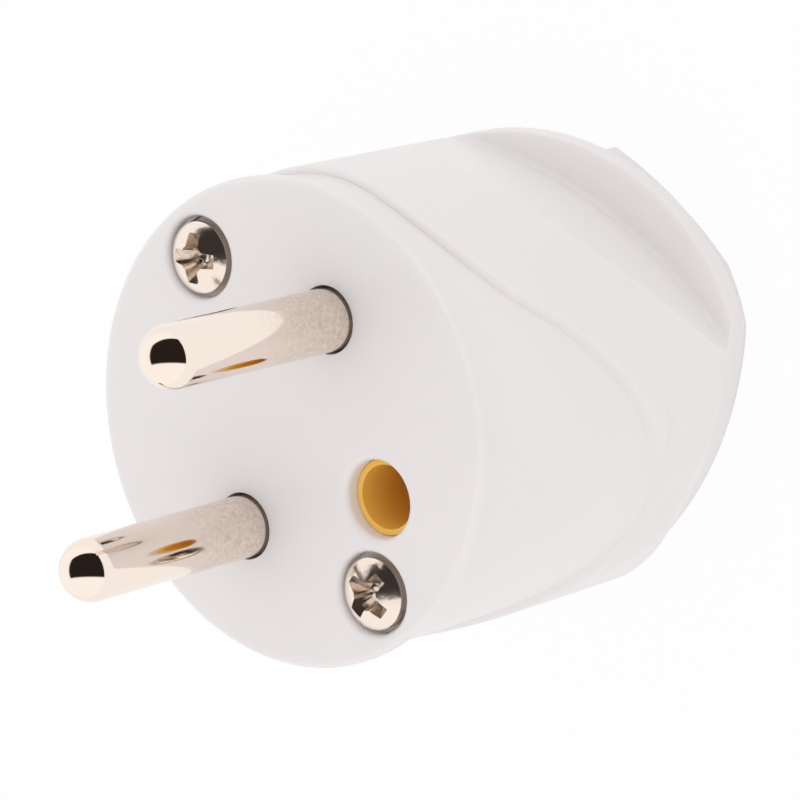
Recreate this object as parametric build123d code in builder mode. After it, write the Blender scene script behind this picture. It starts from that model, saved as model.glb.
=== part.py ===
from build123d import *
import os
from math import cos, radians, sin, tan

# Angled two-pin plug with an earth hole, rewirable, with the cord leaving at its side.
# The frame's origin is the middle of the engagement face, between the two pins.
# +Z points out of the face along the pins, +Y runs from pin to pin, and +X points to the earth hole.
# All sizes are in millimetres.

# Contacts, to the standard sheet
PIN_R = 2.4
PIN_RELIEF_R = 2.2
PIN_RELIEF_END = 0.2
PIN_LENGTH = 19.0
PIN_PITCH = 19.0
EARTH_X = 10.0
EARTH_BORE_R = 2.45
EARTH_MOUTH_R = 2.95
EARTH_LEAD_IN = 0.6

# Face plate
FACE_R = 18.7
RIM_T = 0.95
RIM_ROUND = 0.45
PLATE_T = 3.4
REGISTER_DEPTH = 2.6
REGISTER_T = 1.2
STEP_T = 1.5
STEP_WALL = 0.8
PIN_HOLE_GAP = 0.2
SEAT_WALL = 0.9
SLIP = 0.1

# Housing shell: its front zone lies inside the face's rim, and the hood steps out from it
RIM_LIP = 0.5
HOOD_STEP = 0.55
WALL = 1.8
DEPTH = 35.0
BLOCK_INSET = 0.7
BLOCK_EDGE_X = -3.8
BACK_EDGE_ROUND = 0.5
BLOCK_CORNER_ROUND = 1.6

# Tongue seam, seen from the side: a leaning line, an arc and a steep line
SEAM_CORNER_X = 5.7
SEAM_CORNER_Z = -2.7
SEAM_LEAN = 9.6
SEAM_STEEP = 58.3
SEAM_ARC_R = 12.0
SEAM_ROUND = 0.45

# Thumb side: a ramp from the seam to the crest, then a dish down to the back, turned about an axis
# that lies beyond the plug's own
THUMB_AXIS_X = -12.9
CREST_RISE = 6.6
RAMP_FALL = 0.8
RAMP_LENGTH = 5.5
DISH_RISE = 3.4
DISH_FALL = 2.05
BACK_FALL = 2.75
CREST_ROUND = 3.0
DISH_ROUND = 6.0
THUMB_SWEEP = 120.0

# Finger scoops, turned about a leaning axis beyond the far side
SCOOP_LEAN = 10.0
SCOOP_AXIS_X = 3.0
SCOOP_AXIS_OFF = 18.4
SCOOP_DEPTH = 3.55
SCOOP_WALL_RISE = 5.7
SCOOP_FLOOR_SLOPE = 0.25
SCOOP_WALL_SLOPE = 0.1
SCOOP_VALLEY_ROUND = 0.7
SCOOP_EDGE_ROUND = 0.3
SCOOP_SWEEP = 76.0
FLANGE_T = 1.8
BLOCK_SIDE_OUT = 2.2

# Cord outlet
OUTLET_R = 4.0
OUTLET_Z = -19.5
COLLAR_R = 5.6
COLLAR_LENGTH = 2.25
COLLAR_ROUND = 0.6
PAST = 1.0

# Cover screws, their recesses, bosses and inserts
SCREW_INSET = 3.75
SCREW_ANGLE = 27.6
SCREW_R = 1.5
SCREW_HEAD_R = 2.75
SCREW_HEAD_H = 1.25
SCREW_DOME_H = 0.75
SCREW_LENGTH = 15.0
CROSS_SPAN = 3.5
CROSS_W = 0.85
CROSS_DEPTH = 1.1
CROSS_TAPER = 12.0
RECESS_R = 3.15
RECESS_DEPTH = 1.35
RECESS_ROUND = 0.45
BOSS_R = 3.1
INSERT_R = 2.1
INSERT_LENGTH = 5.0
INSERT_BAND = 1.6
INSERT_WAIST = 0.25
THREAD_GAP = 0.02
SHANK_GAP = 0.2

# Live pins behind the face
PIN_FLANGE_R = 4.7
FLANGE_THICK = 1.6
PIN_HEAD_R = 3.75
PIN_HEAD_LENGTH = 9.5
WIRE_HOLE_R = 1.6
WIRE_HOLE_BACK = 5.0
TURNED_CHAMFER = 0.35

# Earth socket
EARTH_TUBE_R = 3.4
EARTH_FLANGE_R = 3.9
EARTH_FRONT_Z = -1.3
EARTH_END_RISE = 6.5
EARTH_HEAD_R = 3.5
EARTH_HEAD_LENGTH = 9.5
SLOT_W = 0.7
SLOT_TOP_Z = -8.0
SLOT_END_RISE = 1.5
GROOVE_Z = -12.4
SPRING_WIRE_R = 0.4
SPRING_GAP_DEG = 40.0

# Terminal screws and the leaves that they press on the wires
TERMINAL_SCREW_R = 1.7
TERMINAL_HEAD_R = 2.6
TERMINAL_HEAD_H = 1.8
DRIVER_SLOT_W = 0.7
DRIVER_SLOT_DEPTH = 0.9
LEAF_R = 1.45
LEAF_T = 0.4

# Contact retainer and its screws
RETAINER_T = 2.2
RETAINER_SCREWS_X = (-2.6, 2.4)
SMALL_SCREW_R = 1.1
SMALL_HEAD_R = 2.0
SMALL_HEAD_H = 1.2
SMALL_BOSS_R = 1.9
BARRIER_X = 5.3
BARRIER_T = 1.1
BARRIER_LENGTH = 17.0
BARRIER_H = 6.5

# Cord clamp
CLAMP_X = -7.2
CLAMP_SCREW_Y = 6.6
CLAMP_W = 4.8
CLAMP_T = 2.2
CLAMP_ARCH = 0.8
CLAMP_SCREW_R = 1.4
CLAMP_HEAD_R = 2.3
CLAMP_HEAD_H = 1.5
CLAMP_SCREW_LENGTH = 9.0
CLAMP_POST_R = 2.5

os.makedirs("parts", exist_ok=True)

front_r = FACE_R - RIM_LIP
hood_r = front_r + HOOD_STEP
bore_r = front_r - WALL
collar_x = -hood_r - COLLAR_LENGTH
half_pitch = PIN_PITCH / 2
pin_spots = [(0, half_pitch), (0, -half_pitch)]
screw_x = (front_r - SCREW_INSET) * cos(radians(SCREW_ANGLE))
screw_y = (front_r - SCREW_INSET) * sin(radians(SCREW_ANGLE))
screw_spots = [(-screw_x, screw_y), (screw_x, -screw_y)]
clamp_spots = [(CLAMP_X, CLAMP_SCREW_Y), (CLAMP_X, -CLAMP_SCREW_Y)]
retainer_spots = [(x, 0) for x in RETAINER_SCREWS_X]
register_end = -PLATE_T - REGISTER_DEPTH
flange_back = -PLATE_T - FLANGE_THICK
retainer_back = flange_back - RETAINER_T
lean = radians(SCOOP_LEAN)
valley_r = hood_r + SCOOP_AXIS_OFF - SCOOP_DEPTH
scoop_wall_s = SCOOP_WALL_RISE - DEPTH
crest_z = CREST_RISE - DEPTH
reach = 2 * FACE_R


def label_and_write(part, name):
    part.label = name
    export_step(part, f"parts/{name}.step")


def leaning_z(x, s):
    """Height at x of the plane square to the scoops' leaning axis, s along that axis."""
    return (s - x * sin(lean)) / cos(lean)


def radius_of(point):
    """Distance of a point from the plug's own axis."""
    return Vector(point.X, point.Y, 0).length


def scoop_plane(side):
    """Plane through the scoop's leaning axis: its y runs along the axis, its x out to the scoop."""
    return Plane(
        origin=(SCOOP_AXIS_X, -side * SCOOP_AXIS_OFF, 0),
        x_dir=(0, side, 0),
        z_dir=(side * cos(lean), 0, -side * sin(lean)),
    )


def scoop_cutter(side, grow):
    """Wedge turned about the leaning axis: a sloping floor that ends at the flange's front wall."""
    axis_plane = scoop_plane(side)
    valley = (valley_r - grow, scoop_wall_s - grow)
    with BuildPart() as cutter:
        with BuildSketch(axis_plane) as wedge:
            with BuildLine():
                Polyline(
                    valley,
                    (valley[0] + hood_r, valley[1] - hood_r * SCOOP_WALL_SLOPE),
                    (valley[0] + hood_r, valley[1] + hood_r / SCOOP_FLOOR_SLOPE),
                    close=True,
                )
            make_face()
            fillet(wedge.vertices().sort_by(Axis.X)[0], SCOOP_VALLEY_ROUND)
        turn_axis = Axis(axis_plane.origin, axis_plane.y_dir)
        revolve(axis=turn_axis, revolution_arc=SCOOP_SWEEP)
    return cutter.part.rotate(turn_axis, -SCOOP_SWEEP / 2)


def thumb_cutter(inset):
    """All that lies outside the thumb side's ramp, crest and dish, turned about the thumb axis."""
    crest = (hood_r - inset, crest_z)
    dish = (hood_r - inset - DISH_FALL, DISH_RISE - DEPTH)
    with BuildPart() as cutter:
        with BuildSketch(Plane.XZ) as outside:
            with BuildLine():
                Polyline(
                    (reach, crest_z + RAMP_LENGTH),
                    (crest[0] - RAMP_FALL, crest_z + RAMP_LENGTH),
                    crest,
                    dish,
                    (crest[0] - BACK_FALL, -DEPTH),
                    (crest[0] - BACK_FALL, -DEPTH - PAST),
                    (reach, -DEPTH - PAST),
                    close=True,
                )
            make_face()
            fillet(outside.vertices().sort_by_distance(crest)[0], CREST_ROUND)
            fillet(outside.vertices().sort_by_distance(dish)[0], DISH_ROUND)
        turn_axis = Axis((THUMB_AXIS_X, 0, 0), (0, 0, 1))
        revolve(axis=turn_axis, revolution_arc=THUMB_SWEEP)
    return cutter.part.rotate(turn_axis, -THUMB_SWEEP / 2)


def shell_form(inset):
    """Outer form of the housing without its scoops, or its hollow when the inset is the wall."""
    main_r = hood_r - inset
    flange_s = scoop_wall_s - FLANGE_T + inset
    with BuildPart() as main:
        Cylinder(main_r, DEPTH + FACE_R, align=(Align.CENTER, Align.CENTER, Align.MAX))
        with BuildSketch(Plane.XZ) as side:
            with BuildLine():
                Polyline(
                    (-reach, PAST),
                    (reach, PAST),
                    (reach, leaning_z(reach, flange_s)),
                    (-reach, leaning_z(-reach, flange_s)),
                    close=True,
                )
            make_face()
        extrude(amount=reach, both=True, mode=Mode.INTERSECT)
        if inset == 0:
            fillet(main.edges().filter_by(GeomType.ELLIPSE), BACK_EDGE_ROUND)
    with BuildPart() as block:
        with BuildSketch(Plane.XY.offset(-DEPTH + inset)) as foot:
            Circle(main_r - BLOCK_INSET)
            with Locations((BLOCK_EDGE_X + inset, 0)):
                Rectangle(reach, 2 * reach, align=(Align.MIN, Align.CENTER), mode=Mode.INTERSECT)
            fillet(foot.vertices(), BLOCK_CORNER_ROUND)
        extrude(amount=DEPTH - inset + scoop_wall_s)
        for side in (1, -1):
            side_plane = scoop_plane(side)
            with BuildSketch(side_plane) as side_strip:
                Rectangle(valley_r + BLOCK_SIDE_OUT - inset, 2 * reach, align=(Align.MIN, Align.CENTER))
            revolve(axis=Axis(side_plane.origin, side_plane.y_dir), mode=Mode.INTERSECT)
        if inset == 0:
            fillet(block.edges().group_by(Axis.Z)[0], BACK_EDGE_ROUND)
    with BuildPart() as form:
        add(main.part)
        add(block.part)
        add(thumb_cutter(inset), mode=Mode.SUBTRACT)
    return form.part


def seam_z(x):
    """Height of the tongue seam's steep line at x."""
    return SEAM_CORNER_Z - (x - SEAM_CORNER_X) * tan(radians(SEAM_STEEP))


# Relief of the front zone: all that lies in front of the seam and outside the front radius
seam_left_z = SEAM_CORNER_Z - (SEAM_CORNER_X + reach) * tan(radians(SEAM_LEAN))
with BuildPart() as front_relief:
    with BuildSketch(Plane.XZ) as seam_side:
        with BuildLine():
            FilletPolyline(
                (-reach, seam_left_z),
                (SEAM_CORNER_X, SEAM_CORNER_Z),
                (reach, seam_z(reach)),
                radius=SEAM_ARC_R,
            )
            Polyline((reach, seam_z(reach)), (reach, PAST), (-reach, PAST), (-reach, seam_left_z))
        make_face()
    extrude(amount=reach, both=True)
    Cylinder(front_r, 4 * reach, mode=Mode.SUBTRACT)

# Housing: moulded cup with the raised hood, the finger scoops and the side outlet
hollow = shell_form(WALL)
for side in (1, -1):
    hollow -= scoop_cutter(side, WALL)
hollow &= Pos(0, 0, -reach) * Cylinder(bore_r, 2 * reach)

with BuildPart() as housing:
    add(shell_form(0))
    add(front_relief.part, mode=Mode.SUBTRACT)
    seam_line = housing.edges(Select.LAST).filter_by(lambda e: abs(radius_of(e @ 0.5) - hood_r) < 0.01)
    fillet(seam_line.filter_by(lambda e: e.geom_type != GeomType.CIRCLE), SEAM_ROUND)
    for side in (1, -1):
        add(scoop_cutter(side, 0), mode=Mode.SUBTRACT)
        rims = housing.edges(Select.LAST).filter_by(lambda e: abs(radius_of(e @ 0.5) - hood_r) < 0.01)
        fillet(rims, SCOOP_EDGE_ROUND)
    with BuildSketch(Plane.YZ.offset(collar_x)) as collar:
        with Locations((0, OUTLET_Z)):
            Circle(COLLAR_R)
    extrude(amount=-collar_x - bore_r + WALL)
    fillet(housing.edges().group_by(Axis.X)[0], COLLAR_ROUND)
    with BuildSketch(Plane.XY) as mouth:
        Circle(reach)
    extrude(amount=-RIM_T, mode=Mode.SUBTRACT)
    with BuildSketch(Plane.XY.offset(-RIM_T)) as step_seat:
        Circle(front_r - STEP_WALL)
    extrude(amount=-STEP_T - SLIP, mode=Mode.SUBTRACT)
    add(hollow, mode=Mode.SUBTRACT)

# Posts, bosses and the cord saddle that stand on the floor inside the cup
clamp_top = OUTLET_Z + OUTLET_R
with BuildPart() as inner_posts:
    with BuildSketch(Plane.XY.offset(register_end - SLIP)) as bosses:
        with Locations(*screw_spots):
            Circle(BOSS_R)
    extrude(amount=-DEPTH - register_end)
    with BuildSketch(Plane.XY.offset(clamp_top)) as posts:
        with Locations(*clamp_spots):
            Circle(CLAMP_POST_R)
    extrude(amount=-DEPTH - clamp_top)
    with BuildSketch(Plane.XY.offset(OUTLET_Z)) as saddle:
        with Locations((CLAMP_X, 0)):
            Rectangle(CLAMP_W / 2, 2 * CLAMP_SCREW_Y)
    extrude(amount=-DEPTH - OUTLET_Z)
    with BuildSketch(Plane.YZ.offset(collar_x - PAST)) as cord_way:
        with Locations((0, OUTLET_Z)):
            Circle(OUTLET_R)
    extrude(amount=-collar_x + PAST + BLOCK_EDGE_X, mode=Mode.SUBTRACT)
inner_posts_trimmed = inner_posts.part & shell_form(WALL / 2)

with BuildPart() as housing_whole:
    add(housing.part)
    add(inner_posts_trimmed)
    with BuildSketch(Plane.YZ.offset(collar_x - PAST)) as outlet:
        with Locations((0, OUTLET_Z)):
            Circle(OUTLET_R)
    extrude(amount=-collar_x + PAST - bore_r + WALL + COLLAR_R, mode=Mode.SUBTRACT)
    with Locations(*[(x, y, register_end - SLIP) for x, y in screw_spots]):
        Cylinder(
            INSERT_R + THREAD_GAP, INSERT_LENGTH + SLIP,
            align=(Align.CENTER, Align.CENTER, Align.MAX), mode=Mode.SUBTRACT,
        )
        Cylinder(
            SCREW_R + SHANK_GAP, SCREW_LENGTH + RECESS_DEPTH + register_end + SCREW_R,
            align=(Align.CENTER, Align.CENTER, Align.MAX), mode=Mode.SUBTRACT,
        )
    with Locations(*[(x, y, clamp_top) for x, y in clamp_spots]):
        Cylinder(
            CLAMP_SCREW_R + THREAD_GAP, CLAMP_SCREW_LENGTH,
            align=(Align.CENTER, Align.CENTER, Align.MAX), mode=Mode.SUBTRACT,
        )
label_and_write(housing_whole.part, "housing")

# Face plate: the disc that meets the wall socket, with its register and the seats of the contacts
with BuildPart() as face_plate:
    with BuildSketch(Plane.XY) as disc:
        Circle(FACE_R)
    extrude(amount=-RIM_T)
    fillet(face_plate.edges().group_by(Axis.Z)[-1], RIM_ROUND)
    with BuildSketch(Plane.XY.offset(-RIM_T)) as step:
        Circle(front_r - STEP_WALL - SLIP)
    extrude(amount=-STEP_T)
    with BuildSketch(Plane.XY.offset(-RIM_T)) as plate:
        Circle(bore_r - SLIP)
    extrude(amount=RIM_T - PLATE_T)
    with BuildSketch(Plane.XY.offset(-PLATE_T)) as register:
        Circle(bore_r - SLIP)
        Circle(bore_r - SLIP - REGISTER_T, mode=Mode.SUBTRACT)
        with Locations(*screw_spots):
            Circle(BOSS_R)
            Circle(SCREW_R + SHANK_GAP, mode=Mode.SUBTRACT)
        Circle(bore_r - SLIP, mode=Mode.INTERSECT)
    extrude(amount=-REGISTER_DEPTH)
    with BuildSketch(Plane.XY.offset(-PLATE_T)) as seats:
        with Locations(*pin_spots):
            Circle(PIN_FLANGE_R + SLIP + SEAT_WALL)
            Circle(PIN_FLANGE_R + SLIP, mode=Mode.SUBTRACT)
        with Locations((EARTH_X, 0)):
            Circle(EARTH_FLANGE_R + SLIP + SEAT_WALL)
            Circle(EARTH_FLANGE_R + SLIP, mode=Mode.SUBTRACT)
        Circle(bore_r - SLIP, mode=Mode.INTERSECT)
        with Locations(*retainer_spots):
            Circle(SMALL_BOSS_R)
        with Locations(*screw_spots):
            Circle(BOSS_R, mode=Mode.SUBTRACT)
    extrude(amount=-FLANGE_THICK)
    with BuildSketch(Plane.XY) as through_holes:
        with Locations(*pin_spots):
            Circle(PIN_R + PIN_HOLE_GAP)
        with Locations((EARTH_X, 0)):
            Circle(EARTH_MOUTH_R)
        with Locations(*screw_spots):
            Circle(SCREW_R + SHANK_GAP)
    extrude(amount=-PLATE_T - REGISTER_DEPTH, mode=Mode.SUBTRACT)
    with BuildSketch(Plane.XY.offset(-PLATE_T + SMALL_BOSS_R / 2)) as small_holes:
        with Locations(*retainer_spots):
            Circle(SMALL_SCREW_R + THREAD_GAP)
    extrude(amount=-FLANGE_THICK - SMALL_BOSS_R / 2, mode=Mode.SUBTRACT)
    with BuildSketch(Plane.XY) as recesses:
        with Locations(*screw_spots):
            Circle(RECESS_R)
    extrude(amount=-RECESS_DEPTH, mode=Mode.SUBTRACT)
    front_edges = face_plate.edges().filter_by(GeomType.CIRCLE).filter_by_position(Axis.Z, -0.01, 0.01)
    fillet(front_edges.filter_by(lambda e: abs(e.radius - EARTH_MOUTH_R) < 0.01), EARTH_LEAD_IN)
    fillet(front_edges.filter_by(lambda e: abs(e.radius - RECESS_R) < 0.01), RECESS_ROUND)
label_and_write(face_plate.part, "face_plate")

# Live pins: turned brass with a round end, a seating flange and a drilled terminal head
wire_z = flange_back - PIN_HEAD_LENGTH + WIRE_HOLE_BACK
pin_end = flange_back - PIN_HEAD_LENGTH
for name, (x, y) in zip(("upper_pin", "lower_pin"), pin_spots):
    with BuildPart() as live_pin:
        with BuildSketch(Plane.XZ) as pin_half:
            with BuildLine():
                Polyline(
                    (PIN_R, PIN_LENGTH - PIN_R),
                    (PIN_R, PIN_RELIEF_END),
                    (PIN_RELIEF_R, PIN_RELIEF_END),
                    (PIN_RELIEF_R, -PLATE_T),
                    (PIN_FLANGE_R, -PLATE_T),
                    (PIN_FLANGE_R, flange_back),
                    (PIN_HEAD_R, flange_back),
                    (PIN_HEAD_R, pin_end + TURNED_CHAMFER),
                    (PIN_HEAD_R - TURNED_CHAMFER, pin_end),
                    (0, pin_end),
                    (0, PIN_LENGTH),
                )
                RadiusArc((0, PIN_LENGTH), (PIN_R, PIN_LENGTH - PIN_R), PIN_R)
            make_face()
        revolve(axis=Axis.Z)
        with BuildSketch(Plane.YZ) as wire_hole:
            with Locations((0, wire_z)):
                Circle(WIRE_HOLE_R)
        extrude(amount=PIN_FLANGE_R, both=True, mode=Mode.SUBTRACT)
        with BuildSketch(Plane.XY.offset(pin_end)) as screw_hole:
            Circle(TERMINAL_SCREW_R + THREAD_GAP)
        extrude(amount=WIRE_HOLE_BACK, mode=Mode.SUBTRACT)
    label_and_write(live_pin.part.moved(Location((x, y, 0))), name)

# Earth socket: turned brass tube, slotted to grip the earth pin, with its own terminal head
earth_end = EARTH_END_RISE - DEPTH
tube_end = earth_end + EARTH_HEAD_LENGTH
earth_wire_z = earth_end + WIRE_HOLE_BACK
groove_r = EARTH_TUBE_R - SPRING_WIRE_R / 2
ring_r = groove_r + THREAD_GAP + SPRING_WIRE_R
with BuildPart() as earth_socket:
    with BuildSketch(Plane.XZ) as tube_half:
        with BuildLine():
            Polyline(
                (EARTH_BORE_R, EARTH_FRONT_Z),
                (EARTH_MOUTH_R - SLIP / 2, EARTH_FRONT_Z),
                (EARTH_MOUTH_R - SLIP / 2, -PLATE_T),
                (EARTH_FLANGE_R, -PLATE_T),
                (EARTH_FLANGE_R, flange_back),
                (EARTH_TUBE_R, flange_back),
                (EARTH_TUBE_R, GROOVE_Z + SPRING_WIRE_R),
                (groove_r, GROOVE_Z + SPRING_WIRE_R),
                (groove_r, GROOVE_Z - SPRING_WIRE_R),
                (EARTH_TUBE_R, GROOVE_Z - SPRING_WIRE_R),
                (EARTH_TUBE_R, tube_end),
                (EARTH_HEAD_R, tube_end),
                (EARTH_HEAD_R, earth_end + TURNED_CHAMFER),
                (EARTH_HEAD_R - TURNED_CHAMFER, earth_end),
                (0, earth_end),
                (0, tube_end),
                (EARTH_BORE_R, tube_end),
                close=True,
            )
        make_face()
    revolve(axis=Axis.Z)
    with BuildSketch(Plane.XY.offset(SLOT_TOP_Z)) as slots:
        with PolarLocations(0, 2):
            Rectangle(4 * EARTH_TUBE_R, SLOT_W)
        with Locations(Rotation(0, 0, 90)):
            Rectangle(4 * EARTH_TUBE_R, SLOT_W)
    extrude(amount=tube_end + SLOT_END_RISE - SLOT_TOP_Z, mode=Mode.SUBTRACT)
    with BuildSketch(Plane.YZ) as earth_wire_hole:
        with Locations((0, earth_wire_z)):
            Circle(WIRE_HOLE_R)
    extrude(amount=EARTH_FLANGE_R, both=True, mode=Mode.SUBTRACT)
    with BuildSketch(Plane.XY.offset(earth_end)) as earth_screw_hole:
        Circle(TERMINAL_SCREW_R + THREAD_GAP)
    extrude(amount=WIRE_HOLE_BACK, mode=Mode.SUBTRACT)
label_and_write(earth_socket.part.moved(Location((EARTH_X, 0, 0))), "earth_socket")

# Spring ring that squeezes the slotted tube
with BuildPart() as earth_spring:
    with BuildSketch(Plane.XZ) as wire:
        with Locations((ring_r, GROOVE_Z)):
            Circle(SPRING_WIRE_R - THREAD_GAP)
    revolve(axis=Axis.Z, revolution_arc=360 - SPRING_GAP_DEG)
label_and_write(earth_spring.part.moved(Location((EARTH_X, 0, 0))), "earth_spring")

# Terminal screws and their pressure leaves, one pair for each contact
terminals = {
    "upper": (0, half_pitch, pin_end, wire_z),
    "lower": (0, -half_pitch, pin_end, wire_z),
    "earth": (EARTH_X, 0, earth_end, earth_wire_z),
}
for name, (x, y, seat_z, hole_z) in terminals.items():
    with BuildPart() as terminal_screw:
        with BuildSketch(Plane.XY.offset(hole_z)) as leaf_side:
            Circle(TERMINAL_SCREW_R)
        extrude(amount=seat_z - hole_z)
        with BuildSketch(Plane.XY.offset(seat_z)) as head:
            Circle(TERMINAL_HEAD_R)
        extrude(amount=-TERMINAL_HEAD_H)
        chamfer(terminal_screw.edges().group_by(Axis.Z)[0], TURNED_CHAMFER)
        with BuildSketch(Plane.XY.offset(seat_z - TERMINAL_HEAD_H)) as driver_slot:
            Rectangle(3 * TERMINAL_HEAD_R, DRIVER_SLOT_W)
        extrude(amount=DRIVER_SLOT_DEPTH, mode=Mode.SUBTRACT)
    label_and_write(terminal_screw.part.moved(Location((x, y, 0))), f"{name}_terminal_screw")
    with BuildPart() as leaf:
        with BuildSketch(Plane.XY.offset(hole_z)) as leaf_disc:
            Circle(LEAF_R)
        extrude(amount=LEAF_T)
    label_and_write(leaf.part.moved(Location((x, y, 0))), f"{name}_wire_leaf")

# Contact retainer: the moulded plate that locks the contacts' flanges, with the earth barrier
with BuildPart() as contact_retainer:
    with BuildSketch(Plane.XY.offset(flange_back)) as outline:
        with Locations(*pin_spots):
            Circle(PIN_FLANGE_R)
        with Locations((EARTH_X, 0)):
            Circle(EARTH_FLANGE_R)
        make_hull()
        with Locations(*pin_spots):
            Circle(PIN_HEAD_R + SLIP, mode=Mode.SUBTRACT)
        with Locations((EARTH_X, 0)):
            Circle(EARTH_TUBE_R + SLIP, mode=Mode.SUBTRACT)
        with Locations(*retainer_spots):
            Circle(SMALL_SCREW_R + SHANK_GAP, mode=Mode.SUBTRACT)
        with Locations(*screw_spots):
            Circle(BOSS_R + SHANK_GAP, mode=Mode.SUBTRACT)
    extrude(amount=-RETAINER_T)
    with BuildSketch(Plane.XY.offset(retainer_back)) as barrier:
        with Locations((BARRIER_X, 0)):
            Rectangle(BARRIER_T, BARRIER_LENGTH)
        with Locations((EARTH_X, 0)):
            Circle(ring_r + SPRING_WIRE_R + SLIP, mode=Mode.SUBTRACT)
        with Locations(*pin_spots):
            Circle(PIN_HEAD_R + SLIP, mode=Mode.SUBTRACT)
    extrude(amount=-BARRIER_H)
label_and_write(contact_retainer.part, "contact_retainer")

for number, (x, y) in enumerate(retainer_spots, start=1):
    with BuildPart() as retainer_screw:
        with BuildSketch(Plane.XY.offset(retainer_back)) as small_head:
            Circle(SMALL_HEAD_R)
        extrude(amount=-SMALL_HEAD_H)
        fillet(retainer_screw.edges().group_by(Axis.Z)[0], SMALL_HEAD_H / 2)
        with BuildSketch(Plane.XY.offset(retainer_back)) as small_shank:
            Circle(SMALL_SCREW_R)
        extrude(amount=RETAINER_T + FLANGE_THICK)
        with BuildSketch(Plane.XY.offset(retainer_back - SMALL_HEAD_H)) as small_slot:
            Rectangle(2 * SMALL_SCREW_R, DRIVER_SLOT_W / 2)
            Rectangle(DRIVER_SLOT_W / 2, 2 * SMALL_SCREW_R)
        extrude(amount=SMALL_HEAD_H / 2, mode=Mode.SUBTRACT)
    label_and_write(retainer_screw.part.moved(Location((x, y, 0))), f"retainer_screw_{number}")

# Cover screws with domed heads and cross recesses, and the brass inserts that hold them
head_seat_z = -RECESS_DEPTH
for name, (x, y) in zip(("upper", "lower"), screw_spots):
    with BuildPart() as cover_screw:
        with BuildSketch(Plane.XZ) as screw_half:
            with BuildLine():
                Polyline(
                    (SCREW_HEAD_R, head_seat_z + SCREW_HEAD_H - SCREW_DOME_H),
                    (SCREW_HEAD_R, head_seat_z),
                    (SCREW_R, head_seat_z),
                    (SCREW_R, head_seat_z - SCREW_LENGTH + SCREW_R / 2),
                    (SCREW_R / 2, head_seat_z - SCREW_LENGTH),
                    (0, head_seat_z - SCREW_LENGTH),
                    (0, head_seat_z + SCREW_HEAD_H),
                )
                RadiusArc(
                    (0, head_seat_z + SCREW_HEAD_H),
                    (SCREW_HEAD_R, head_seat_z + SCREW_HEAD_H - SCREW_DOME_H),
                    (SCREW_HEAD_R**2 + SCREW_DOME_H**2) / (2 * SCREW_DOME_H),
                )
            make_face()
        revolve(axis=Axis.Z)
        for turn in (0, 90):
            with BuildSketch(Plane.XY.offset(head_seat_z + SCREW_HEAD_H)) as cross_wing:
                Rectangle(CROSS_SPAN, CROSS_W, rotation=turn)
            extrude(amount=-CROSS_DEPTH, taper=CROSS_TAPER, mode=Mode.SUBTRACT)
    label_and_write(cover_screw.part.moved(Location((x, y, 0))), f"{name}_cover_screw")
    with BuildPart() as insert:
        with BuildSketch(Plane.XZ) as insert_half:
            top_z = register_end - SLIP
            end_z = top_z - INSERT_LENGTH
            with BuildLine():
                Polyline(
                    (SCREW_R + THREAD_GAP, top_z),
                    (INSERT_R, top_z),
                    (INSERT_R, top_z - INSERT_BAND),
                    (INSERT_R - INSERT_WAIST, top_z - INSERT_BAND),
                    (INSERT_R - INSERT_WAIST, end_z + INSERT_BAND),
                    (INSERT_R, end_z + INSERT_BAND),
                    (INSERT_R, end_z),
                    (SCREW_R + THREAD_GAP, end_z),
                    close=True,
                )
            make_face()
        revolve(axis=Axis.Z)
    label_and_write(insert.part.moved(Location((x, y, 0))), f"{name}_insert")

# Cord clamp: an arched bar over the cord, with two self-tapping screws
with BuildPart() as cord_clamp:
    with BuildSketch(Plane.XY.offset(clamp_top)) as bar:
        with Locations((CLAMP_X, 0)):
            SlotCenterToCenter(2 * CLAMP_SCREW_Y, CLAMP_W, rotation=90)
        with Locations(*clamp_spots):
            Circle(CLAMP_SCREW_R + SHANK_GAP, mode=Mode.SUBTRACT)
    extrude(amount=CLAMP_T)
    with BuildSketch(Plane.YZ.offset(CLAMP_X - CLAMP_W)) as arch:
        with Locations((0, OUTLET_Z + CLAMP_ARCH)):
            Circle(OUTLET_R)
    extrude(amount=2 * CLAMP_W, mode=Mode.SUBTRACT)
label_and_write(cord_clamp.part, "cord_clamp")

clamp_seat_z = clamp_top + CLAMP_T
for name, (x, y) in zip(("upper", "lower"), clamp_spots):
    with BuildPart() as clamp_screw:
        with BuildSketch(Plane.XY.offset(clamp_seat_z)) as clamp_head:
            Circle(CLAMP_HEAD_R)
        extrude(amount=CLAMP_HEAD_H)
        fillet(clamp_screw.edges().group_by(Axis.Z)[-1], CLAMP_HEAD_H / 2)
        with BuildSketch(Plane.XY.offset(clamp_seat_z)) as clamp_shank:
            Circle(CLAMP_SCREW_R)
        extrude(amount=-CLAMP_SCREW_LENGTH)
        with BuildSketch(Plane.XY.offset(clamp_seat_z + CLAMP_HEAD_H)) as clamp_cross:
            Rectangle(2 * CLAMP_SCREW_R, DRIVER_SLOT_W / 2)
            Rectangle(DRIVER_SLOT_W / 2, 2 * CLAMP_SCREW_R)
        extrude(amount=-CLAMP_HEAD_H / 2, mode=Mode.SUBTRACT)
    label_and_write(clamp_screw.part.moved(Location((x, y, 0))), f"{name}_clamp_screw")
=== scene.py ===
from math import cos, radians, sin, tau

import bpy
from mathutils import Matrix, Vector


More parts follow.
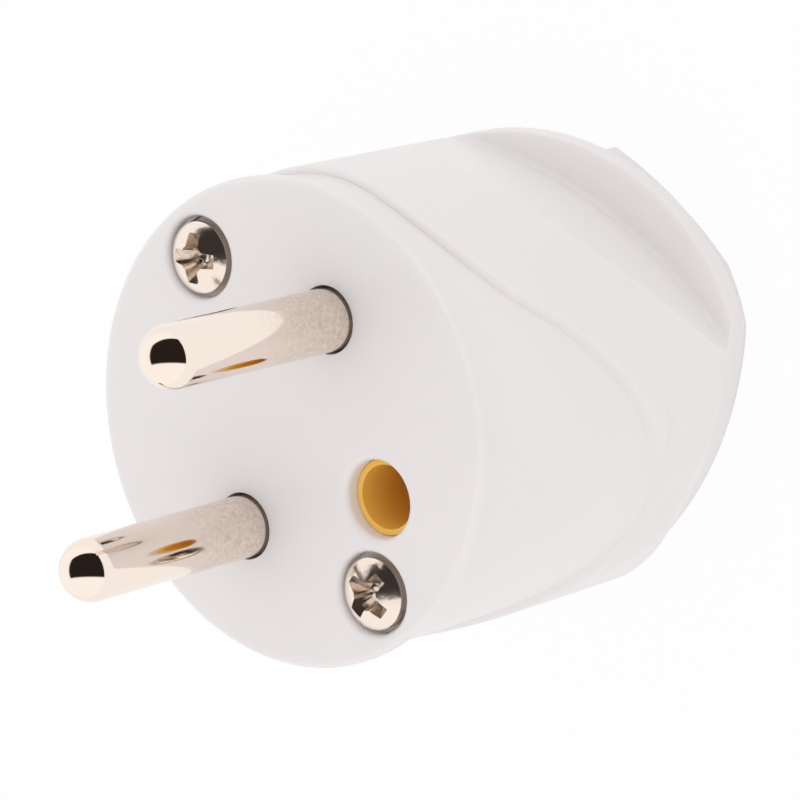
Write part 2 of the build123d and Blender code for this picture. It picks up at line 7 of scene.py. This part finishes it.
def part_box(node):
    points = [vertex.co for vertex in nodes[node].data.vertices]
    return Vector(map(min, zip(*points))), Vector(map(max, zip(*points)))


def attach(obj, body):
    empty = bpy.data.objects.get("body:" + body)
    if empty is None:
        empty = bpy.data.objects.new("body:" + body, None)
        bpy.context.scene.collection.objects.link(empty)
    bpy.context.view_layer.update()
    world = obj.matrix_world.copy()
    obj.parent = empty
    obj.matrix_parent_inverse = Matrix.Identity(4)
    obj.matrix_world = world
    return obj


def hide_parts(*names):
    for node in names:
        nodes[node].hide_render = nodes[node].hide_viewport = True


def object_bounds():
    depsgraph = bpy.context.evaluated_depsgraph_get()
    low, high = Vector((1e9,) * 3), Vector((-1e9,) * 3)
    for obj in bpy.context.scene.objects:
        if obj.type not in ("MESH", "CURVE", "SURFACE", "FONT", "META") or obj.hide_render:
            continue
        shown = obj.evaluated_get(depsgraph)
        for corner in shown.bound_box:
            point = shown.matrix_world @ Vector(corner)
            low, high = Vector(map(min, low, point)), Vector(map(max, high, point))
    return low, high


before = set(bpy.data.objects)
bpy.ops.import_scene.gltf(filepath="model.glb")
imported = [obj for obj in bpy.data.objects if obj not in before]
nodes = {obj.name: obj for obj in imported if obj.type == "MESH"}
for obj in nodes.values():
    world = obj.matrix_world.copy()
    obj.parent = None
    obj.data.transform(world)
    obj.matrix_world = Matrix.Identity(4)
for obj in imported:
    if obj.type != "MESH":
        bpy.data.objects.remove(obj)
cad_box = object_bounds()
MM = 0.001

# Viewpoint of the product picture: above the face, off to the side of the earth hole, and rolled,
# so that the pins point down to the left. The lens and the place were fitted to the pins and the rims.
CAMERA_PLACE = Vector((152.6, 154.6, 231.0)) * MM
CAMERA_RIGHT = Vector((0.6883, 0.3367, -0.6426))
CAMERA_UP = Vector((-0.5561, 0.8137, -0.1693))
LENS = 190.8
SENSOR = 36.0
CLIP = (0.01, 20.0)

camera_data = bpy.data.cameras.new("picture_camera")
camera_data.sensor_fit = "HORIZONTAL"
camera_data.sensor_width = SENSOR
camera_data.lens = LENS
camera_data.clip_start, camera_data.clip_end = CLIP
camera = bpy.data.objects.new("picture_camera", camera_data)
bpy.context.scene.collection.objects.link(camera)
right = CAMERA_RIGHT.normalized()
back = right.cross(CAMERA_UP).normalized()
up = back.cross(right)
turn = Matrix((right, up, back)).transposed().to_4x4()
camera.matrix_world = Matrix.Translation(CAMERA_PLACE) @ turn
bpy.context.scene.camera = camera
bpy.context.scene.view_settings.view_transform = "Standard"

# Light tent: white cloth all round, with the dark room in front, where the picture is taken from.
# The room's opening is wide with an arched top, and the polished pin tips mirror it.
# Only gloss shows the room: all other light is the cloth's, even from every side.
TENT_COLOUR = "#FFFDFD"
TENT_STRENGTH = 0.98
TENT_MIRRORED = 1.06
ROOM_COLOUR = "#241D19"
ROOM_SIDE = (0.1, 0.24)
ROOM_FLOOR = (-0.44, -0.34)
ROOM_ARCH = 1.47
ROOM_TOP = (0.28, 0.17)


def linear(hex_colour):
    """An sRGB hex colour as linear red, green, blue and alpha."""
    parts = [int(hex_colour[i:i + 2], 16) / 255 for i in (1, 3, 5)]
    return tuple(c / 12.92 if c <= 0.04045 else ((c + 0.055) / 1.055) ** 2.4 for c in parts) + (1.0,)


def add(tree, kind, sockets=None, **settings):
    """Adds a node with its settings, and sets or links the named input sockets."""
    node = tree.nodes.new(kind)
    for key, value in settings.items():
        setattr(node, key, value)
    for socket, value in (sockets or {}).items():
        if isinstance(value, bpy.types.NodeSocket):
            tree.links.new(value, node.inputs[socket])
        else:
            node.inputs[socket].default_value = value
    return node


def camera_and_mirror_rays(tree):
    """Sockets that are 1 for a ray from the camera, and for one that gloss or glass sends on."""
    ray = add(tree, "ShaderNodeLightPath")
    mirrored = add(
        tree, "ShaderNodeMath",
        {0: ray.outputs["Is Glossy Ray"], 1: ray.outputs["Is Transmission Ray"]}, operation="MAXIMUM",
    )
    return ray.outputs["Is Camera Ray"], mirrored.outputs[0]


world = bpy.data.worlds.new("light_tent")
bpy.context.scene.world = world
world.use_nodes = True
tree = world.node_tree
tree.nodes.clear()
way = add(tree, "ShaderNodeTexCoord")
from_camera, mirrored = camera_and_mirror_rays(tree)
room = mirrored
for axis, limits in ((back, ROOM_SIDE), (up, ROOM_FLOOR), (up - ROOM_ARCH * back, ROOM_TOP)):
    along = add(
        tree, "ShaderNodeVectorMath", {0: way.outputs["Generated"], 1: axis}, operation="DOT_PRODUCT",
    )
    edge = add(
        tree, "ShaderNodeMapRange",
        {"Value": along.outputs["Value"], "From Min": limits[0], "From Max": limits[1]},
        interpolation_type="SMOOTHSTEP",
    )
    room = add(tree, "ShaderNodeMath", {0: room, 1: edge.outputs[0]}, operation="MULTIPLY").outputs[0]
tent = add(
    tree, "ShaderNodeMix",
    {"Factor": room, "A": linear(TENT_COLOUR), "B": linear(ROOM_COLOUR)}, data_type="RGBA",
)
strength = add(
    tree, "ShaderNodeMapRange",
    {"Value": mirrored, "To Min": TENT_STRENGTH, "To Max": TENT_MIRRORED},
)
tent_light = add(
    tree, "ShaderNodeBackground", {"Color": tent.outputs["Result"], "Strength": strength.outputs[0]},
)
backdrop = add(tree, "ShaderNodeBackground", {"Color": (1, 1, 1, 1), "Strength": 1.0})
seen = add(tree, "ShaderNodeMixShader", {0: from_camera, 1: tent_light.outputs[0], 2: backdrop.outputs[0]})
add(tree, "ShaderNodeOutputWorld", {"Surface": seen.outputs[0]})

# Floor: a white opal table, lit a little from below, which the plug stands on with its flat back.
# The camera sees it near white, and the plug's soft shadow stays on it.
FLOOR_HALF = 3.0
FLOOR_WHITE = "#F4F4F4"
FLOOR_LIT = 0.06
FLOOR_GLOW = 0.95
CORNERS = ((-1, -1), (1, -1), (1, 1), (-1, 1))

floor_z = cad_box[0][2]
floor_mesh = bpy.data.meshes.new("floor")
floor_mesh.from_pydata([(x * FLOOR_HALF, y * FLOOR_HALF, floor_z) for x, y in CORNERS], [], [(0, 1, 2, 3)])
floor = bpy.data.objects.new("floor", floor_mesh)
bpy.context.scene.collection.objects.link(floor)
white_table = bpy.data.materials.new("white_table")
white_table.use_nodes = True
tree = white_table.node_tree
tree.nodes.clear()
matt = add(tree, "ShaderNodeBsdfDiffuse", {"Color": linear(FLOOR_WHITE)})
lit = add(tree, "ShaderNodeEmission", {"Color": (1, 1, 1, 1), "Strength": FLOOR_LIT})
table = add(tree, "ShaderNodeAddShader", {0: matt.outputs[0], 1: lit.outputs[0]})
glow = add(tree, "ShaderNodeEmission", {"Color": (1, 1, 1, 1), "Strength": 1.0})
bright = add(tree, "ShaderNodeMixShader", {0: FLOOR_GLOW, 1: matt.outputs[0], 2: glow.outputs[0]})
from_camera, mirrored = camera_and_mirror_rays(tree)
direct = add(tree, "ShaderNodeMath", {0: from_camera, 1: mirrored}, operation="MAXIMUM")
either = add(
    tree, "ShaderNodeMixShader", {0: direct.outputs[0], 1: table.outputs[0], 2: bright.outputs[0]},
)
add(tree, "ShaderNodeOutputMaterial", {"Surface": either.outputs[0]})
floor_mesh.materials.append(white_table)

# Housing, face plate, contact retainer and cord clamp: white polyamide, injection moulded in polished tools.
# The eye gets a soft gloss, light that seeps a little way in and softens the hollows,
# a trace of flow in the tone and a very faint orange peel.
WHITE = "#F0EDED"
WHITE_SHADE = "#ECE8E8"
WHITE_ROUGHNESS = 0.34
SEEP_WEIGHT = 0.25
SEEP_RADIUS = (1.0, 0.8, 0.75)
SEEP_MM = 1.2
FLOW_MM = 14.0
PEEL_MM = 1.4
PEEL_HEIGHT_MM = 0.004


def start_material(name, colour, metallic, roughness):
    """A material with its tree and its shader, whose plain colour and gloss are set."""
    material = bpy.data.materials.new(name)
    material.use_nodes = True
    shader = material.node_tree.nodes["Principled BSDF"]
    shader.inputs["Base Color"].default_value = linear(colour)
    shader.inputs["Metallic"].default_value = metallic
    shader.inputs["Roughness"].default_value = roughness
    return material, material.node_tree, shader


def unevenness(tree, shader, size_mm, height_mm, detail):
    """Gives the surface soft bumps of this size and height."""
    place = add(tree, "ShaderNodeTexCoord")
    bumps = add(
        tree, "ShaderNodeTexNoise",
        {"Vector": place.outputs["Object"], "Scale": 1 / (size_mm * MM), "Detail": detail},
    )
    skin = add(
        tree, "ShaderNodeBump",
        {"Height": bumps.outputs["Fac"], "Distance": height_mm * MM, "Strength": 1.0},
    )
    tree.links.new(skin.outputs["Normal"], shader.inputs["Normal"])


def paint(material, *names):
    """Gives the named pieces this material."""
    for name in names:
        slots = nodes[name].data.materials
        slots.clear()
        slots.append(material)


white_polyamide, tree, shader = start_material("white_polyamide", WHITE, 0.0, WHITE_ROUGHNESS)
shader.inputs["Subsurface Weight"].default_value = SEEP_WEIGHT
shader.inputs["Subsurface Radius"].default_value = SEEP_RADIUS
shader.inputs["Subsurface Scale"].default_value = SEEP_MM * MM
place = add(tree, "ShaderNodeTexCoord")
flow = add(
    tree, "ShaderNodeTexNoise",
    {"Vector": place.outputs["Object"], "Scale": 1 / (FLOW_MM * MM), "Detail": 2.0},
)
tone = add(
    tree, "ShaderNodeMix",
    {"Factor": flow.outputs["Fac"], "A": linear(WHITE), "B": linear(WHITE_SHADE)}, data_type="RGBA",
)
tree.links.new(tone.outputs["Result"], shader.inputs["Base Color"])
unevenness(tree, shader, PEEL_MM, PEEL_HEIGHT_MM, detail=1.0)
paint(white_polyamide, "housing", "face_plate", "contact_retainer", "cord_clamp")

# Live pins: turned from brass with flange and drilled head, nickel plated, and locked in by the flange.
# The plate is bright at the polished tip and rougher and finely pitted below. Its colour is painted greyer
# in the pits towards the face, which is a painted reflection of the face plate. In mm, heights from the
# face.
# The solids' shanks are thinner behind the face. These stay full to the flange, as in the picture.
NICKEL = "#F6E9DE"
NICKEL_PITS_AND_PAINTED_REFLECTION = "#D9CBBD"
NICKEL_ROUGHNESS = (0.06, 0.24)
DULL_AND_PAINTED_REFLECTION_Z = (11.0, 3.0)
PIT_MM = 0.35
PIT_RANGE = (0.35, 0.7)
PIN_R = 2.4
PIN_TOP = 19.0
FLANGE_R = 4.7
FLANGE_Z = (-3.4, -5.0)
HEAD_R = 3.75
HEAD_END = -14.5
HEAD_CHAMFER = 0.35
TAPPED_R = 1.72
WIRE_HOLE_R = 1.6
WIRE_HOLE_Z = -9.5
TIP_STEPS = 18
TURN_STEPS = 72
SHARP_FROM_DEG = 32.0


def middle(node):
    """Where the node's upright axis is."""
    low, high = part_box(node)
    return (low[0] + high[0]) / 2, (low[1] + high[1]) / 2


def solid(name, points, faces, material):
    """A piece with this mesh and material."""
    mesh = bpy.data.meshes.new(name)
    mesh.from_pydata(points, [], faces)
    mesh.materials.append(material)
    piece = bpy.data.objects.new(name, mesh)
    bpy.context.scene.collection.objects.link(piece)
    return piece


def turned(name, profile, spot, material):
    """A piece turned about an upright axis at spot, from its outline's radii and heights in mm."""
    points, faces, rings = [], [], []
    for radius, z in profile:
        ring = range(len(points), len(points) + (TURN_STEPS if radius else 1))
        rings.append(ring)
        for k in range(len(ring)):
            angle = tau * k / TURN_STEPS
            points.append((
                spot[0] + radius * MM * cos(angle), spot[1] + radius * MM * sin(angle), z * MM,
            ))
    for above, below in zip(rings, rings[1:]):
        for k in range(TURN_STEPS):
            j = (k + 1) % TURN_STEPS
            corners = [
                above[k % len(above)], below[k % len(below)], below[j % len(below)], above[j % len(above)],
            ]
            faces.append(list(dict.fromkeys(corners)))
    return solid(name, points, faces, material)


def drill(piece, cutter):
    """Cuts the cutter's volume out of the piece, and takes the cutter away."""
    cut = piece.modifiers.new("cut", "BOOLEAN")
    cut.operation = "DIFFERENCE"
    cut.solver = "EXACT"
    cut.object = cutter
    bpy.context.view_layer.update()
    shape = bpy.data.meshes.new_from_object(piece.evaluated_get(bpy.context.evaluated_depsgraph_get()))
    piece.modifiers.clear()
    piece.data = shape
    bpy.data.objects.remove(cutter)


def smooth(piece):
    """Rounds the shading between faces that meet at a small angle."""
    piece.data.shade_smooth()
    piece.data.set_sharp_from_angle(angle=radians(SHARP_FROM_DEG))


nickel_plate, tree, shader = start_material("nickel_plate", NICKEL, 1.0, NICKEL_ROUGHNESS[0])
place = add(tree, "ShaderNodeTexCoord")
height = add(tree, "ShaderNodeSeparateXYZ", {"Vector": place.outputs["Object"]})
# Painted reflection: towards the face the pits' colour turns greyer and stands in for the face plate's dim
# reflection. The pits and the rising roughness are the plate's own.
dulling_and_painted_reflection = add(
    tree, "ShaderNodeMapRange",
    {"Value": height.outputs["Z"], "From Min": DULL_AND_PAINTED_REFLECTION_Z[0] * MM, "From Max": DULL_AND_PAINTED_REFLECTION_Z[1] * MM},
    interpolation_type="SMOOTHSTEP",
)
pits = add(
    tree, "ShaderNodeTexNoise",
    {"Vector": place.outputs["Object"], "Scale": 1 / (PIT_MM * MM), "Detail": 4.0, "Roughness": 0.65},
)
pitted = add(
    tree, "ShaderNodeMapRange",
    {"Value": pits.outputs["Fac"], "From Min": PIT_RANGE[0], "From Max": PIT_RANGE[1]},
)
pits_and_painted_reflection = add(tree, "ShaderNodeMath", {0: dulling_and_painted_reflection.outputs[0], 1: pitted.outputs[0]}, operation="MULTIPLY")
plating_and_painted_reflection = add(
    tree, "ShaderNodeMix",
    {"Factor": pits_and_painted_reflection.outputs[0], "A": linear(NICKEL), "B": linear(NICKEL_PITS_AND_PAINTED_REFLECTION)}, data_type="RGBA",
)
gloss = add(
    tree, "ShaderNodeMapRange",
    {"Value": pits_and_painted_reflection.outputs[0], "To Min": NICKEL_ROUGHNESS[0], "To Max": NICKEL_ROUGHNESS[1]},
)
tree.links.new(plating_and_painted_reflection.outputs["Result"], shader.inputs["Base Color"])
tree.links.new(gloss.outputs[0], shader.inputs["Roughness"])

tip = [
    (PIN_R * sin(tau / 4 * k / TIP_STEPS), PIN_TOP - PIN_R + PIN_R * cos(tau / 4 * k / TIP_STEPS))
    for k in range(TIP_STEPS + 1)
]
shank = [
    (PIN_R, FLANGE_Z[0]), (FLANGE_R, FLANGE_Z[0]), (FLANGE_R, FLANGE_Z[1]), (HEAD_R, FLANGE_Z[1]),
    (HEAD_R, HEAD_END + HEAD_CHAMFER), (HEAD_R - HEAD_CHAMFER, HEAD_END), (TAPPED_R, HEAD_END),
    (TAPPED_R, WIRE_HOLE_Z), (0, WIRE_HOLE_Z),
]
wire_hole = [(0, FLANGE_R), (WIRE_HOLE_R, FLANGE_R), (WIRE_HOLE_R, -FLANGE_R), (0, -FLANGE_R)]
across = Matrix.Rotation(tau / 4, 4, "Y")
for name in ("upper_pin", "lower_pin"):
    spot = middle(name)
    pin = turned("bright_" + name, tip + shank, spot, nickel_plate)
    wire_drill = turned("wire_drill", wire_hole, (0, 0), nickel_plate)
    wire_drill.matrix_world = Matrix.Translation((*spot, WIRE_HOLE_Z * MM)) @ across
    drill(pin, wire_drill)
    smooth(pin)
    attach(pin, "root")
    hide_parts(name)

# Earth contact, locked in the face plate's seat by its flange, and the inserts pressed into the
# housing's bosses: brass, turned on a lathe. Drawn yellower and far less metallic than clean brass,
# whose deep bore would render nearly black where the picture shows lit amber.
BRASS = "#FFCE62"
BRASS_METALLIC = 0.1
BRASS_ROUGHNESS = 0.34

turned_brass, tree, shader = start_material("turned_brass", BRASS, BRASS_METALLIC, BRASS_ROUGHNESS)
paint(turned_brass, "earth_socket", "upper_insert", "lower_insert")

# Cover screws: steel, cold headed and nickel plated, with domed heads and cross recesses. They hold
# the face plate to the housing. The solids' heads end just below the face; these stand proud of it, as
# in the picture, and their warm plate is uneven. In mm, with the cross from its mouth to its floor.
SCREW_NICKEL = "#F1E5DA"
SCREW_ROUGHNESS = 0.2
DENT_MM = 1.1
DENT_DEPTH_MM = 0.05
SCREW_HEAD_R = 2.75
SCREW_SEAT_Z = -1.35
SCREW_RIM_Z = 0.12
SCREW_EDGE = 0.22
SCREW_DOME_H = 0.85
DOME_STEPS = 12
SCREW_R = 1.5
SCREW_END_Z = -16.35
CROSS_SPAN = (5.0, 1.6)
CROSS_WIDTH = (1.3, 0.6)
CROSS_Z = (1.1, -0.85)
CROSS_CORE = [(0, 1.2), (1.2, 1.2), (0.7, -0.7), (0, -1.03)]
CROSS_TURN_DEG = {"upper_cover_screw": 24.0, "lower_cover_screw": -11.3}
WING_FACES = [(0, 1, 2, 3), (7, 6, 5, 4), (0, 4, 5, 1), (1, 5, 6, 2), (2, 6, 7, 3), (3, 7, 4, 0)]

screw_nickel, tree, shader = start_material("screw_nickel", SCREW_NICKEL, 1.0, SCREW_ROUGHNESS)
unevenness(tree, shader, DENT_MM, DENT_DEPTH_MM, detail=2.0)

dome = [
    ((SCREW_HEAD_R - SCREW_EDGE) * k / DOME_STEPS, SCREW_RIM_Z + SCREW_DOME_H * (1 - (k / DOME_STEPS) ** 2))
    for k in range(DOME_STEPS + 1)
]
body = [
    (SCREW_HEAD_R, SCREW_RIM_Z - SCREW_EDGE), (SCREW_HEAD_R, SCREW_SEAT_Z), (SCREW_R, SCREW_SEAT_Z),
    (SCREW_R, SCREW_END_Z + SCREW_R / 2), (SCREW_R / 2, SCREW_END_Z), (0, SCREW_END_Z),
]
wing_points = [
    (x * span / 2 * MM, y * width / 2 * MM, z * MM)
    for span, width, z in zip(CROSS_SPAN, CROSS_WIDTH, CROSS_Z) for x, y in CORNERS
]
for name, angle in CROSS_TURN_DEG.items():
    spot = middle(name)
    screw = turned("domed_" + name, dome + body, spot, screw_nickel)
    for quarter in (0, 90):
        wing = solid("cross_wing", wing_points, WING_FACES, screw_nickel)
        spin = Matrix.Rotation(radians(angle + quarter), 4, "Z")
        wing.matrix_world = Matrix.Translation((*spot, 0)) @ spin
        drill(screw, wing)
    drill(screw, turned("cross_core", CROSS_CORE, spot, screw_nickel))
    smooth(screw)
    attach(screw, "root")
    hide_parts(name)

# Small pieces inside: terminal screws and their leaves, the spring ring on the earth contact, and the
# retainer's and clamp's screws. Steel, zinc plated in a barrel, which leaves it cool grey and half bright.
ZINC = "#B9BCC0"
ZINC_ROUGHNESS = 0.3

zinc_steel, tree, shader = start_material("zinc_steel", ZINC, 1.0, ZINC_ROUGHNESS)
paint(
    zinc_steel, "earth_spring", "upper_wire_leaf", "lower_wire_leaf", "earth_wire_leaf",
    "upper_terminal_screw", "lower_terminal_screw", "earth_terminal_screw",
    "retainer_screw_1", "retainer_screw_2", "upper_clamp_screw", "lower_clamp_screw",
)
